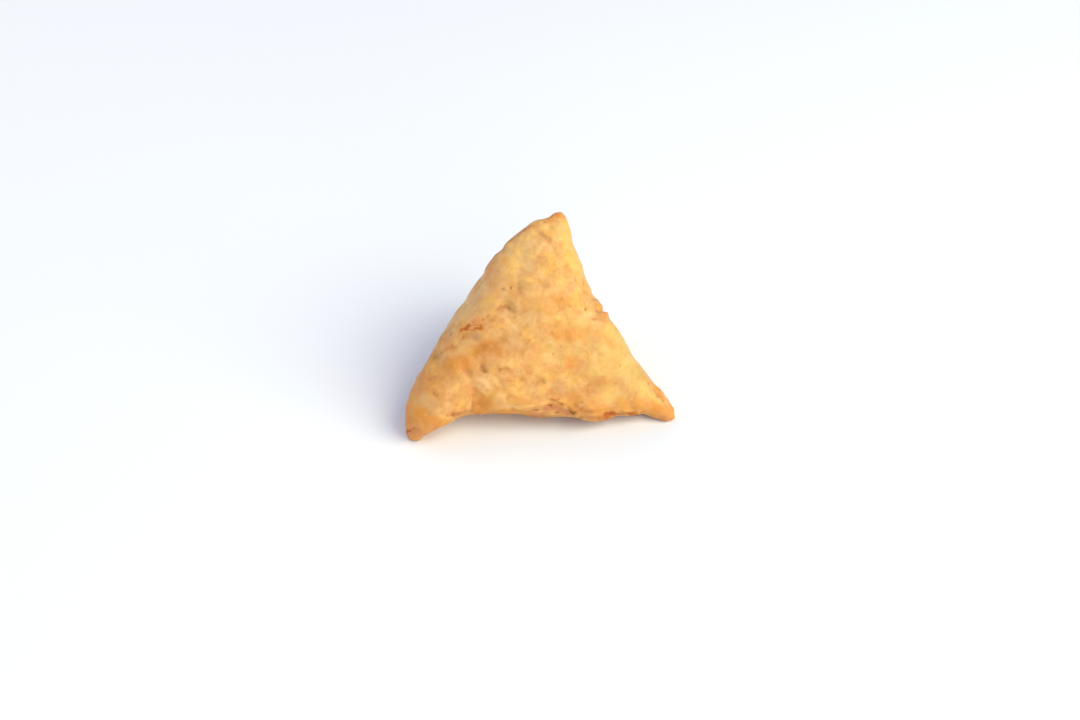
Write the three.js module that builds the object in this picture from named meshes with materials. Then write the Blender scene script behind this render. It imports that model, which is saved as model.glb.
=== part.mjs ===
// A fried samosa: one sheet of dough folded round its filling and pinched shut, so it has four
// domed sides, four drawn-out corners and soft ridges between them. It stands on three corners.
//
// Millimetres, +Z up. X runs across the front from toe to toe and Y away from the front. The
// origin is on the table, under the middle of the samosa's footprint.
//
// The skin is the zero surface of one function, skinDistance(p): below zero inside the dough and
// above zero outside. A coarse cage is shrunk on to that surface, and then halved and settled
// twice more, so its triangles follow the lumps, folds and seam without any list of vertices.

import * as THREE from "three";
import { mergeVertices } from "three/addons/utils/BufferGeometryUtils.js";

const place = (x, y, z) => new THREE.Vector3(x, y, z);

// ---------------------------------------------------------------------------
// Driving sizes and places
// ---------------------------------------------------------------------------

// Where the flat triangles under the four domed sides would meet.
const CORNER = {
  top: place(-0.9, -0.5, 61.0),
  left: place(-43.4, -27.5, 3.8),
  right: place(34.6, -22.5, 4.0),
  back: place(-3.4, 35.5, 4.5),
};

// Each side is part of a ball: it swells by `swell` in its middle and has radius `ball`.
const SIDES = [
  { corners: ["top", "left", "right"], swell: 6.0, ball: 95 },
  { corners: ["top", "back", "left"], swell: 6.5, ball: 80 },
  { corners: ["top", "right", "back"], swell: 5.2, ball: 80 },
  { corners: ["left", "back", "right"], swell: 2.2, ball: 200 },
];
const RIDGE_SOFTNESS = 2.6;

// Pinched corners, from the tip in towards the filling: centre of the dough and its radius.
const PINCHES = {
  top: [
    [place(5.0, 0.7, 57.4), 2.1],
    [place(3.4, -0.7, 53.6), 5.2],
    [place(0.6, -2.0, 47.5), 8.2],
    [place(-0.4, -4.5, 36.0), 11.0],
  ],
  left: [
    [place(-36.3, -29.1, 2.0), 3.1],
    [place(-33.6, -27.3, 7.2), 6.0],
    [place(-29.4, -23.9, 10.4), 8.2],
    [place(-16.4, -14.5, 14.5), 12.0],
  ],
  right: [
    [place(37.4, -20.3, 1.9), 2.6],
    [place(32.9, -17.4, 4.9), 3.8],
    [place(27.6, -15.9, 8.0), 6.2],
    [place(15.6, -11.5, 13.0), 11.0],
  ],
  back: [
    [place(-1.4, 30.5, 2.1), 3.0],
    [place(-1.4, 26.0, 6.6), 5.2],
    [place(-0.9, 20.5, 10.5), 8.0],
    [place(-0.4, 8.5, 14.5), 12.0],
  ],
};
const PINCH_BLEND = 3.0; // between one stretch of a corner and the next
const CORNER_BLEND = 5.0; // between a corner and the belly

// Filling that presses out (rise above 0) and slack dough that falls in (below 0).
const SWELLS = {
  shoulder: { at: place(-8.9, -1.0, 50.0), spread: 4.5, rise: 0.4 },
  shoulderTop: { at: place(-1.2, -1.0, 56.5), spread: 2.2, rise: 0.7 },
  shoulderEdge: { at: place(-5.5, 1.0, 54.5), spread: 3.0, rise: 0.3 },
  waistByTip: { at: place(1.5, 2.2, 58.4), spread: 1.1, rise: -1.8 },
  leftRidge: { at: place(-14.4, -4.0, 44.5), spread: 3.5, rise: 0.9 },
  leftFlank: { at: place(-23.4, -9.5, 36.5), spread: 6.0, rise: -1.7 },
  leftRidgeLow: { at: place(-30.3, -14.0, 20.8), spread: 3.0, rise: 0.7 },
  rightRidge: { at: place(10.1, -3.5, 46.5), spread: 3.6, rise: 1.0 },
  rightSlack: { at: place(16.0, -9.3, 38.4), spread: 2.8, rise: -3.1 },
  rightLump: { at: place(17.2, -10.7, 35.6), spread: 1.8, rise: -0.5 },
  rightHollow: { at: place(19.2, -11.0, 34.4), spread: 3.0, rise: -1.1 },
  rightNick: { at: place(18.9, -11.1, 34.0), spread: 1.3, rise: -0.7 },
  rightEdge: { at: place(23.6, -10.0, 24.6), spread: 4.0, rise: 0.7 },
  highDimple: { at: place(-6.4, -13.5, 42.0), spread: 3.0, rise: -0.3 },
  deepDimple: { at: place(-9.8, -15.6, 37.6), spread: 1.6, rise: -0.4 },
  upperFilling: { at: place(6.6, -15.5, 36.0), spread: 7.0, rise: 0.6 },
  rightFilling: { at: place(16.6, -19.5, 22.0), spread: 6.0, rise: 0.5 },
  rightDimple: { at: place(17.1, -22.9, 14.5), spread: 3.5, rise: -0.5 },
  leftPit: { at: place(-16.8, -23.8, 22.7), spread: 2.2, rise: -0.6 },
  lowerFilling: { at: place(-5.4, -25.5, 12.5), spread: 5.0, rise: 0.6 },
  leftLegCrown: { at: place(-26.4, -29.0, 16.0), spread: 4.5, rise: 0.7 },
  leftLegUnder: { at: place(-25.0, -26.5, 1.5), spread: 4.5, rise: -2.6 },
  leftLegHeel: { at: place(-31.6, -30.0, 0.0), spread: 3.0, rise: -1.6 },
  leftToe: { at: place(-37.4, -32.0, 5.5), spread: 2.5, rise: 0.3 },
  archLeft: { at: place(-14.0, -24.0, 2.0), spread: 6.0, rise: -2.3 },
  archMiddle: { at: place(2.0, -25.0, 1.0), spread: 6.0, rise: -1.5 },
  rightLegTop: { at: place(31.1, -14.5, 11.5), spread: 3.0, rise: -0.7 },
  rightLegUnder: { at: place(26.6, -16.0, 1.5), spread: 4.5, rise: -1.3 },
  rollLeft: { at: place(3.6, -26.0, 5.0), spread: 4.5, rise: 0.8 },
  rollMiddle: { at: place(13.6, -24.5, 5.5), spread: 6.0, rise: 2.3 },
  rollRight: { at: place(25.6, -23.0, 5.0), spread: 4.5, rise: 1.3 },
  seamTongue: { at: place(17.6, -23.5, 4.5), spread: 3.0, rise: 0.6 },
};

// Folds pressed into the dough, each along a short run of places.
const FOLDS = {
  besideTip: {
    along: [place(2.2, -3.5, 57.5), place(4.2, -4.1, 55.5), place(4.8, -5.0, 53.0)],
    halfWidth: 1.1,
    depth: 0.5,
  },
  underTip: { along: [place(0.0, -5.7, 56.2), place(2.0, -6.2, 55.0)], halfWidth: 1.4, depth: 0.45 },
  highFront: { along: [place(-4.8, -9.0, 51.4), place(-0.4, -9.8, 49.8)], halfWidth: 1.2, depth: 0.35 },
  leftCrease: {
    along: [place(-31.4, -18.3, 21.7), place(-27.4, -19.5, 23.0), place(-23.9, -19.2, 27.6)],
    halfWidth: 1.0,
    depth: 0.3,
  },
  besideLeftLeg: {
    along: [
      place(-21.9, -24.1, 21.0),
      place(-20.4, -26.5, 16.5),
      place(-18.9, -28.0, 12.5),
      place(-17.9, -28.0, 9.0),
    ],
    halfWidth: 2.0,
    depth: 1.0,
  },
  acrossLeftToe: {
    along: [place(-39.4, -31.5, 5.0), place(-37.3, -32.8, 5.7), place(-36.0, -33.1, 7.0)],
    halfWidth: 0.8,
    depth: 0.5,
  },
};

// The outer sheet ends low on the front: [distance across, height of its edge]. Below the edge
// and between the two ends, the under-sheet lies deeper by one thickness.
const SEAM = {
  edge: [[-3.4, 11.3], [2.9, 10.8], [5.8, 9.5], [8.8, 7.7], [10.9, 4.8], [14.8, 2.6], [21.3, 1.8]],
  thickness: 0.9,
  sharpness: 0.4,
  from: 1.1,
  to: 15.6,
  endFade: 1.1,
  behind: -17.5,
  behindFade: 1.5,
};

// Uneven skin over potato and peas: crossing ripples, [wavelength, height, phase], whose crests
// wander sideways so that none runs straight. The scatter sets how far their phases differ.
const RIPPLES = [[13.0, 0.24, 2.0], [6.5, 0.12, 4.6]];
const RIPPLE_DIRECTIONS = 8;
const RIPPLE_SCATTER = 1.7;
const WANDER = { wavelength: 19.0, shift: 2.4, phases: [1, 2, 3] };
const RIPPLES_START = 1.0; // distance from a tip: the pinched dough is firm and smooth
const RIPPLES_FULL = 15.0;

// Dough within this height of the table is pressed flat where the samosa stands.
const TABLE_PRESS = 0.4;

// The starting cage: its rows of triangles, how far it reaches past the tips, and how strongly
// a corner pulls the points that face it.
const CAGE_DETAIL = 12;
const CAGE_REACH = 1.4;
const CAGE_PULL = 2.0;

// Passes that settle the cage on the skin at each of the three finenesses, and passes without
// easing at the end. Points slide freely from one distance of a tip outwards.
const PASSES = [60, 16, 8];
const LAST_PASSES = 6;
const EASE = 0.6;
const HELD_NEAR_TIP = 1.5;
const FREE_FROM_TIP = 11.0;
const LONGEST_MOVE = 2.0;
const PROBE = 0.02;

// ---------------------------------------------------------------------------
// The skin
// ---------------------------------------------------------------------------

// The smaller of two distances, rounded where they meet.
function blend(a, b, width) {
  const t = THREE.MathUtils.clamp(0.5 + (0.5 * (b - a)) / width, 0, 1);
  return b * (1 - t) + a * t - width * t * (1 - t);
}

// A step from 0 to 1 as `x` passes zero, `softness` wide.
function step(x, softness) {
  return 1 / (1 + Math.exp(-x / softness));
}

function middleOf(points) {
  const sum = new THREE.Vector3();
  for (const point of points) sum.add(point);
  return sum.divideScalar(points.length);
}

// The ball whose surface is one domed side.
function ballOfSide({ corners, swell, ball }) {
  const [a, b, c] = corners.map((name) => CORNER[name]);
  const centre = middleOf([a, b, c]);
  const outward = new THREE.Plane().setFromCoplanarPoints(a, b, c).normal;
  const heart = middleOf(Object.values(CORNER));
  if (outward.dot(centre.clone().sub(heart)) < 0) outward.negate();
  return { centre: centre.addScaledVector(outward, swell - ball), radius: ball };
}

const BALLS = SIDES.map(ballOfSide);
const TIPS = Object.values(PINCHES).map((places) => places[0][0]);

// Inside all four balls at once, with the ridges rounded (the logarithm of summed exponentials).
function bellyDistance(p) {
  const gaps = BALLS.map(({ centre, radius }) => p.distanceTo(centre) - radius);
  const most = Math.max(...gaps);
  const sum = gaps.reduce((total, gap) => total + Math.exp((gap - most) / RIDGE_SOFTNESS), 0);
  return most + RIDGE_SOFTNESS * Math.log(sum);
}

// Distance from p to the straight run a-b, and how far along it the nearest place is (0 to 1).
function toRun(p, a, b) {
  const [ax, ay, az] = [b.x - a.x, b.y - a.y, b.z - a.z];
  const [px, py, pz] = [p.x - a.x, p.y - a.y, p.z - a.z];
  const square = ax * ax + ay * ay + az * az;
  const along = THREE.MathUtils.clamp((px * ax + py * ay + pz * az) / square, 0, 1);
  return [Math.hypot(px - along * ax, py - along * ay, pz - along * az), along];
}

// A pinched corner: round dough whose radius changes evenly between its named places.
function pinchDistance(p, places) {
  let distance = null;
  for (let i = 0; i + 1 < places.length; i += 1) {
    const [a, radiusA] = places[i];
    const [b, radiusB] = places[i + 1];
    const [gap, along] = toRun(p, a, b);
    const run = gap - THREE.MathUtils.lerp(radiusA, radiusB, along);
    distance = distance === null ? run : blend(distance, run, PINCH_BLEND);
  }
  return distance;
}

function gapToTip(p) {
  return Math.min(...TIPS.map((tip) => p.distanceTo(tip)));
}

function swellHeight(p) {
  let height = 0;
  for (const { at, spread, rise } of Object.values(SWELLS)) {
    height += rise * Math.exp(-p.distanceToSquared(at) / (2 * spread * spread));
  }
  return height;
}

function foldDepth(p) {
  let total = 0;
  for (const { along, halfWidth, depth } of Object.values(FOLDS)) {
    let gap = Infinity;
    for (let i = 0; i + 1 < along.length; i += 1) {
      gap = Math.min(gap, toRun(p, along[i], along[i + 1])[0]);
    }
    total += depth * Math.exp(-((gap / halfWidth) ** 2));
  }
  return total;
}

// Each coordinate is shifted by a wave that runs along the next one.
function wander({ x, y, z }) {
  const turn = (2 * Math.PI) / WANDER.wavelength;
  const shift = (along, i) => WANDER.shift * Math.sin(turn * along + WANDER.phases[i]);
  return place(x + shift(y, 0), y + shift(z, 1), z + shift(x, 2));
}

// Ripples of one wavelength run in directions spread over a sphere by the golden angle.
function rippleHeight(p, [wavelength, height, phase]) {
  const goldenAngle = Math.PI * (3 - Math.sqrt(5));
  let sum = 0;
  for (let i = 0; i < RIPPLE_DIRECTIONS; i += 1) {
    const up = (2 * i + 1) / RIPPLE_DIRECTIONS - 1;
    const out = Math.sqrt(1 - up * up);
    const turn = goldenAngle * i + phase;
    const along = out * Math.cos(turn) * p.x + out * Math.sin(turn) * p.y + up * p.z;
    sum += Math.sin((2 * Math.PI * along) / wavelength + RIPPLE_SCATTER * i * i + phase);
  }
  return (height * sum) / Math.sqrt(RIPPLE_DIRECTIONS);
}

// Height of the outer sheet's edge at x, straight between the named places.
function seamHeight(x) {
  const { edge } = SEAM;
  if (x <= edge[0][0]) return edge[0][1];
  for (let i = 0; i + 1 < edge.length; i += 1) {
    const [x0, z0] = edge[i];
    const [x1, z1] = edge[i + 1];
    if (x < x1) return THREE.MathUtils.mapLinear(x, x0, x1, z0, z1);
  }
  return edge[edge.length - 1][1];
}

function seamDepth(p) {
  const below = step(seamHeight(p.x) - p.z, SEAM.sharpness);
  const between = step(p.x - SEAM.from, SEAM.endFade) * step(SEAM.to - p.x, SEAM.endFade);
  const front = step(SEAM.behind - p.y, SEAM.behindFade);
  return SEAM.thickness * below * between * front;
}

function skinDistance(p) {
  let distance = bellyDistance(p);
  for (const places of Object.values(PINCHES)) {
    distance = blend(distance, pinchDistance(p, places), CORNER_BLEND);
  }
  distance += foldDepth(p) + seamDepth(p) - swellHeight(p);
  const wandered = wander(p);
  const share = THREE.MathUtils.smoothstep(gapToTip(p), RIPPLES_START, RIPPLES_FULL);
  for (const ripple of RIPPLES) distance -= share * rippleHeight(wandered, ripple);
  return distance;
}

// ---------------------------------------------------------------------------
// The mesh: a cage of points and triangles
// ---------------------------------------------------------------------------

// A ball of triangles made from a tetrahedron, with one of its corners sent to each tip. A point
// goes between the tips by how near its direction is to each (CAGE_PULL), and lies outside.
function startCage() {
  const ball = new THREE.TetrahedronGeometry(1, CAGE_DETAIL);
  ball.deleteAttribute("normal");
  ball.deleteAttribute("uv");
  const welded = mergeVertices(ball);
  const towards = [place(1, 1, 1), place(-1, -1, 1), place(1, -1, -1), place(-1, 1, -1)];
  for (const direction of towards) direction.normalize();
  const middle = middleOf(TIPS);
  const position = welded.getAttribute("position");
  const points = [];
  for (let i = 0; i < position.count; i += 1) {
    const direction = new THREE.Vector3().fromBufferAttribute(position, i);
    const weights = towards.map((to) => Math.exp(CAGE_PULL * direction.dot(to)));
    const total = weights.reduce((sum, weight) => sum + weight, 0);
    const point = middle.clone();
    TIPS.forEach((tip, k) => {
      point.addScaledVector(tip.clone().sub(middle), (CAGE_REACH * weights[k]) / total);
    });
    points.push(point);
  }
  const faces = [];
  for (let i = 0; i < welded.index.count; i += 3) {
    faces.push([0, 1, 2].map((k) => welded.index.getX(i + k)));
  }
  return { points, faces };
}

// Splits every triangle in four at the middles of its edges.
function halve({ points, faces }) {
  const finer = points.map((point) => point.clone());
  const middles = new Map();
  const between = (a, b) => {
    const key = a < b ? `${a}:${b}` : `${b}:${a}`;
    if (!middles.has(key)) {
      middles.set(key, finer.length);
      finer.push(middleOf([points[a], points[b]]));
    }
    return middles.get(key);
  };
  const split = [];
  for (const [a, b, c] of faces) {
    const [ab, bc, ca] = [between(a, b), between(b, c), between(c, a)];
    split.push([a, ab, ca], [ab, b, bc], [ca, bc, c], [ab, bc, ca]);
  }
  return { points: finer, faces: split };
}

function neighboursOf({ points, faces }) {
  const near = points.map(() => new Set());
  for (const [a, b, c] of faces) {
    near[a].add(b).add(c);
    near[b].add(c).add(a);
    near[c].add(a).add(b);
  }
  return near.map((set) => [...set]);
}

// How freely a point may slide along the skin: not at all at a tip, fully away from it.
function freedom(point) {
  return THREE.MathUtils.smoothstep(gapToTip(point), HELD_NEAR_TIP, FREE_FROM_TIP);
}

// Moves each point to the skin along the slope of skinDistance. While easing, it also slides
// sideways towards the middle of its neighbours, which evens out the triangles.
function settle(cage, passes, lastPasses) {
  const near = neighboursOf(cage);
  let { points } = cage;
  for (let pass = 0; pass < passes + lastPasses; pass += 1) {
    const slopes = [];
    for (const point of points) {
      const distance = skinDistance(point);
      const slope = place(
        skinDistance(place(point.x + PROBE, point.y, point.z)) - distance,
        skinDistance(place(point.x, point.y + PROBE, point.z)) - distance,
        skinDistance(place(point.x, point.y, point.z + PROBE)) - distance,
      ).divideScalar(PROBE);
      const move = THREE.MathUtils.clamp(distance, -LONGEST_MOVE, LONGEST_MOVE);
      point.addScaledVector(slope, -move / slope.lengthSq());
      slopes.push(slope.normalize());
    }
    if (pass < passes) {
      points = points.map((point, i) => {
        const slide = middleOf(near[i].map((k) => points[k])).sub(point).projectOnPlane(slopes[i]);
        return point.clone().addScaledVector(slide, EASE * freedom(point));
      });
    }
  }
  return { points, faces: cage.faces };
}

// The weight on the three toes presses a small flat spot under each.
function pressOnTable(point) {
  const { z } = point;
  if (z <= -TABLE_PRESS) point.z = 0;
  else if (z < TABLE_PRESS) point.z = (z + TABLE_PRESS) ** 2 / (4 * TABLE_PRESS);
}

function samosaGeometry() {
  let cage = startCage();
  PASSES.forEach((passes, level) => {
    if (level > 0) cage = halve(cage);
    cage = settle(cage, passes, level === PASSES.length - 1 ? LAST_PASSES : 0);
  });
  cage.points.forEach(pressOnTable);
  const geometry = new THREE.BufferGeometry().setFromPoints(cage.points);
  geometry.setIndex(cage.faces.flat());
  geometry.computeBoundingBox();
  const middle = geometry.boundingBox.getCenter(new THREE.Vector3());
  geometry.translate(-middle.x, -middle.y, 0);
  geometry.computeVertexNormals();
  return geometry;
}

// ---------------------------------------------------------------------------
// The part
// ---------------------------------------------------------------------------

const friedDough = new THREE.MeshStandardMaterial({ color: 0xd9a066, roughness: 0.55, metalness: 0 });

const samosa = new THREE.Mesh(samosaGeometry(), friedDough);
samosa.name = "samosa";

const part = new THREE.Group();
part.add(samosa);

export default part;
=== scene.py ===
# %% [markdown]
# # A fried samosa, from its folds to its crust
#
# A samosa is one sheet of wheat dough folded into a cone, filled with spiced potato and peas, pinched
# shut and fried in deep oil. It comes out with four domed sides, four drawn-out corners, soft ridges
# between them and a blistered, unevenly browned crust. This file makes it in three steps: the shape,
# the fine relief of the crust, and the colours that frying leaves. It is written as a lesson, and each
# step first says what the thing is and how else it could be made.
#
# Sizes are in millimetres until the mesh is made.

import bpy
import numpy as np
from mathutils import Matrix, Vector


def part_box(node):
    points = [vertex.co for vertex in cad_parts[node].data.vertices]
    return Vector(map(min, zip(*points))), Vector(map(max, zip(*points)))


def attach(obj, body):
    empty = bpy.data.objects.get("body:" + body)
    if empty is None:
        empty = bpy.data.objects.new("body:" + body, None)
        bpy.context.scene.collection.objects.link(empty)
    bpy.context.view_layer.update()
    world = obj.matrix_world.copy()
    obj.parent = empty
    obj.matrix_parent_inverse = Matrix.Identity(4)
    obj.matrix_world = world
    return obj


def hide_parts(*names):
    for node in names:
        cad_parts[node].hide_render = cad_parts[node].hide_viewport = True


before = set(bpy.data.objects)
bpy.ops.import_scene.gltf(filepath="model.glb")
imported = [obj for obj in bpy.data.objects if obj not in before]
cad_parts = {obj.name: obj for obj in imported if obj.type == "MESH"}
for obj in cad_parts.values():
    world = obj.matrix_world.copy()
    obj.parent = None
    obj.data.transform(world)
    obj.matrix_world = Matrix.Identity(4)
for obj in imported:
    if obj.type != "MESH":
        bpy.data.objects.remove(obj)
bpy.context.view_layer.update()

MM = 0.001
cad_low, cad_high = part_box("samosa")
print("solid, mm:", [round((b - a) / MM, 1) for a, b in zip(cad_low, cad_high)])

# %% [markdown]
# ## The shape
#
# The dough could be sculpted by hand or blown up in a cloth simulation, but neither gives the same
# samosa twice, and neither keeps a named size. Here its skin is the place where one function is
# zero: the distance to the dough's surface, below zero inside it and above zero outside. The belly is
# what four large balls have in common, each corner is dough whose radius shrinks towards its tip, and
# lumps, folds and the seam are added to the distance. The places and sizes are those of the solid
# part, so that this skin lies on it.

# %% Corners and domed sides
CORNER = {  # where the flat triangles under the domed sides would meet
    "top": (-0.9, -0.5, 61.0),
    "left": (-43.4, -27.5, 3.8),
    "right": (34.6, -22.5, 4.0),
    "back": (-3.4, 35.5, 4.5),
}
SIDES = [  # the corners of a side, how far its middle swells, the radius of its ball
    (("top", "left", "right"), 6.0, 95),
    (("top", "back", "left"), 6.5, 80),
    (("top", "right", "back"), 5.2, 80),
    (("left", "back", "right"), 2.2, 200),
]
RIDGE_SOFTNESS = 2.6


def ball_of_side(names, swell, radius):
    """Centre and radius of the ball that a domed side is part of: from the middle of the side's
    triangle, outwards by the swell and back inwards by the radius."""
    a, b, c = (np.array(CORNER[name]) for name in names)
    middle = (a + b + c) / 3
    outward = np.cross(b - a, c - a)
    outward /= np.linalg.norm(outward)
    heart = np.mean(list(CORNER.values()), axis=0)
    outward *= np.sign(outward @ (middle - heart))
    return middle + outward * (swell - radius), radius


BALLS = [ball_of_side(*side) for side in SIDES]


def belly_distance(p):
    """Inside all four balls at once. The largest of the four distances is softened by the logarithm
    of the summed exponentials, which rounds the ridges between the sides."""
    gaps = np.stack([np.linalg.norm(p - centre, axis=1) - radius for centre, radius in BALLS])
    most = gaps.max(axis=0)
    return most + RIDGE_SOFTNESS * np.log(np.exp((gaps - most) / RIDGE_SOFTNESS).sum(axis=0))


for (names, _, _), (centre, radius) in zip(SIDES, BALLS):
    print("-".join(names), "ball centre", centre.round(1), "radius", radius)

# %% Pinched corners
PINCHES = {  # from the tip in towards the filling: the middle of the dough (x, y, z) and its radius
    "top": [
        (5.0, 0.7, 57.4, 2.1), (3.4, -0.7, 53.6, 5.2), (0.6, -2.0, 47.5, 8.2), (-0.4, -4.5, 36.0, 11.0),
    ],
    "left": [
        (-36.3, -29.1, 2.0, 3.1), (-33.6, -27.3, 7.2, 6.0), (-29.4, -23.9, 10.4, 8.2),
        (-16.4, -14.5, 14.5, 12.0),
    ],
    "right": [
        (37.4, -20.3, 1.9, 2.6), (32.9, -17.4, 4.9, 3.8), (27.6, -15.9, 8.0, 6.2),
        (15.6, -11.5, 13.0, 11.0),
    ],
    "back": [
        (-1.4, 30.5, 2.1, 3.0), (-1.4, 26.0, 6.6, 5.2), (-0.9, 20.5, 10.5, 8.0), (-0.4, 8.5, 14.5, 12.0),
    ],
}
PINCH_BLEND = 3.0  # between one stretch of a corner and the next
CORNER_BLEND = 5.0  # between a corner and the belly
TIPS = np.array([places[0][:3] for places in PINCHES.values()])


def blend(a, b, width):
    """The smaller of two distances, with a rounded join as wide as `width` where they meet."""
    t = np.clip(0.5 + 0.5 * (b - a) / width, 0, 1)
    return b * (1 - t) + a * t - width * t * (1 - t)


TINY = 1e-9  # so that a run whose ends are one place isn't divided by nothing


def to_run(p, a, b):
    """Distance from each point to the straight run a-b, and how far along the nearest place is."""
    a, ab = np.array(a), np.subtract(b, a)
    along = np.clip((p - a) @ ab / max(ab @ ab, TINY), 0, 1)
    return np.linalg.norm(p - a - along[:, None] * ab, axis=1), along


def pinch_distance(p, places):
    """Round dough whose radius changes evenly from one named place to the next."""
    distance = None
    for (*a, radius_a), (*b, radius_b) in zip(places, places[1:]):
        gap, along = to_run(p, a, b)
        run = gap - (radius_a + (radius_b - radius_a) * along)
        distance = run if distance is None else blend(distance, run, PINCH_BLEND)
    return distance


def gap_to_tip(p):
    """Distance to the nearest of the four tips."""
    return np.min([np.linalg.norm(p - tip, axis=1) for tip in TIPS], axis=0)


print("tips", {name: places[0][:3] for name, places in PINCHES.items()})

# %% Lumps of filling and slack dough
SWELLS = {  # place (x, y, z), how wide it spreads, how far it rises (below 0: falls in)
    "shoulder": (-8.9, -1.0, 50.0, 4.5, 0.4),
    "shoulder_top": (-1.2, -1.0, 56.5, 2.2, 0.7),
    "shoulder_edge": (-5.5, 1.0, 54.5, 3.0, 0.3),
    "waist_by_tip": (1.5, 2.2, 58.4, 1.1, -1.8),
    "left_ridge": (-14.4, -4.0, 44.5, 3.5, 0.9),
    "left_flank": (-23.4, -9.5, 36.5, 6.0, -1.7),
    "left_ridge_low": (-30.3, -14.0, 20.8, 3.0, 0.7),
    "right_ridge": (10.1, -3.5, 46.5, 3.6, 1.0),
    "right_slack": (16.0, -9.3, 38.4, 2.8, -3.1),
    "right_lump": (17.2, -10.7, 35.6, 1.8, -0.5),
    "right_hollow": (19.2, -11.0, 34.4, 3.0, -1.1),
    "right_nick": (18.9, -11.1, 34.0, 1.3, -0.7),
    "right_edge": (23.6, -10.0, 24.6, 4.0, 0.7),
    "high_dimple": (-6.4, -13.5, 42.0, 3.0, -0.3),
    "deep_dimple": (-9.8, -15.6, 37.6, 1.6, -0.4),
    "upper_filling": (6.6, -15.5, 36.0, 7.0, 0.6),
    "right_filling": (16.6, -19.5, 22.0, 6.0, 0.5),
    "right_dimple": (17.1, -22.9, 14.5, 3.5, -0.5),
    "left_pit": (-16.8, -23.8, 22.7, 2.2, -0.6),
    "lower_filling": (-5.4, -25.5, 12.5, 5.0, 0.6),
    "left_leg_crown": (-26.4, -29.0, 16.0, 4.5, 0.7),
    "left_leg_under": (-25.0, -26.5, 1.5, 4.5, -2.6),
    "left_leg_heel": (-31.6, -30.0, 0.0, 3.0, -1.6),
    "left_toe": (-37.4, -32.0, 5.5, 2.5, 0.3),
    "arch_left": (-14.0, -24.0, 2.0, 6.0, -2.3),
    "arch_middle": (2.0, -25.0, 1.0, 6.0, -1.5),
    "right_leg_top": (31.1, -14.5, 11.5, 3.0, -0.7),
    "right_leg_under": (26.6, -16.0, 1.5, 4.5, -1.3),
    "roll_left": (3.6, -26.0, 5.0, 4.5, 0.8),
    "roll_middle": (13.6, -24.5, 5.5, 6.0, 2.3),
    "roll_right": (25.6, -23.0, 5.0, 4.5, 1.3),
    "seam_tongue": (17.6, -23.5, 4.5, 3.0, 0.6),
}


def swell_height(p):
    """Each lump is its rise times the exponential of minus its squared distance over twice its
    squared spread, and the lumps add up."""
    height = np.zeros(len(p))
    for *at, spread, rise in SWELLS.values():
        height += rise * np.exp(-((p - at) ** 2).sum(axis=1) / (2 * spread**2))
    return height


print(len(SWELLS), "lumps and hollows")

# %% Folds pressed into the dough
FOLDS = {  # places along the fold, half its width, its depth
    "beside_tip": ([(2.2, -3.5, 57.5), (4.2, -4.1, 55.5), (4.8, -5.0, 53.0)], 1.1, 0.5),
    "under_tip": ([(0.0, -5.7, 56.2), (2.0, -6.2, 55.0)], 1.4, 0.45),
    "high_front": ([(-4.8, -9.0, 51.4), (-0.4, -9.8, 49.8)], 1.2, 0.35),
    "left_crease": ([(-31.4, -18.3, 21.7), (-27.4, -19.5, 23.0), (-23.9, -19.2, 27.6)], 1.0, 0.3),
    "beside_left_leg": (
        [(-21.9, -24.1, 21.0), (-20.4, -26.5, 16.5), (-18.9, -28.0, 12.5), (-17.9, -28.0, 9.0)],
        2.0, 1.0,
    ),
    "across_left_toe": ([(-39.4, -31.5, 5.0), (-37.3, -32.8, 5.7), (-36.0, -33.1, 7.0)], 0.8, 0.5),
}


def gap_to_line(p, along):
    """Distance to a line through several places, or to one place."""
    if len(along) == 1:
        return np.linalg.norm(p - np.array(along[0]), axis=1)
    return np.min([to_run(p, a, b)[0] for a, b in zip(along, along[1:])], axis=0)


def bell(gap, half_width):
    """The exponential of minus the squared distance over the squared half width."""
    return np.exp(-((gap / half_width) ** 2))


def fold_depth(p):
    """A fold is its depth times a bell of the distance to its line, and the folds add up."""
    return sum(depth * bell(gap_to_line(p, along), half) for along, half, depth in FOLDS.values())


print(len(FOLDS), "folds")

# %% The seam low on the front
# The lower edge of the outer sheet, as x and z from left to right.
SEAM_EDGE = [(-3.4, 11.3), (2.9, 10.8), (5.8, 9.5), (8.8, 7.7), (10.9, 4.8), (14.8, 2.6), (21.3, 1.8)]
SEAM_THICKNESS = 0.9
SEAM_SHARPNESS = 0.4
SEAM_FROM, SEAM_TO, SEAM_END_FADE = 1.1, 15.6, 1.1  # along x
SEAM_BEHIND, SEAM_BEHIND_FADE = -17.5, 1.5  # along y: none of it behind this


def step(x, softness):
    """From 0 to 1 as x passes zero, `softness` wide."""
    return 1 / (1 + np.exp(-x / softness))


def seam_depth(p):
    """Below the outer sheet's edge the under-sheet lies deeper by one thickness of dough."""
    x, y, z = p.T
    edge = np.interp(x, *zip(*SEAM_EDGE))
    between = step(x - SEAM_FROM, SEAM_END_FADE) * step(SEAM_TO - x, SEAM_END_FADE)
    front = step(SEAM_BEHIND - y, SEAM_BEHIND_FADE)
    return SEAM_THICKNESS * step(edge - z, SEAM_SHARPNESS) * between * front


print("seam from", SEAM_EDGE[0], "to", SEAM_EDGE[-1])

# %% Ripples of the filling under the skin
RIPPLES = [(13.0, 0.24, 2.0), (6.5, 0.12, 4.6)]  # wavelength, height, phase
RIPPLE_DIRECTIONS = 8
RIPPLE_SCATTER = 1.7
WANDER_LENGTH, WANDER_SHIFT, WANDER_PHASES = 19.0, 2.4, (1, 2, 3)
RIPPLES_START, RIPPLES_FULL = 1.0, 15.0  # distance from a tip: pinched dough is firm and smooth


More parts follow.
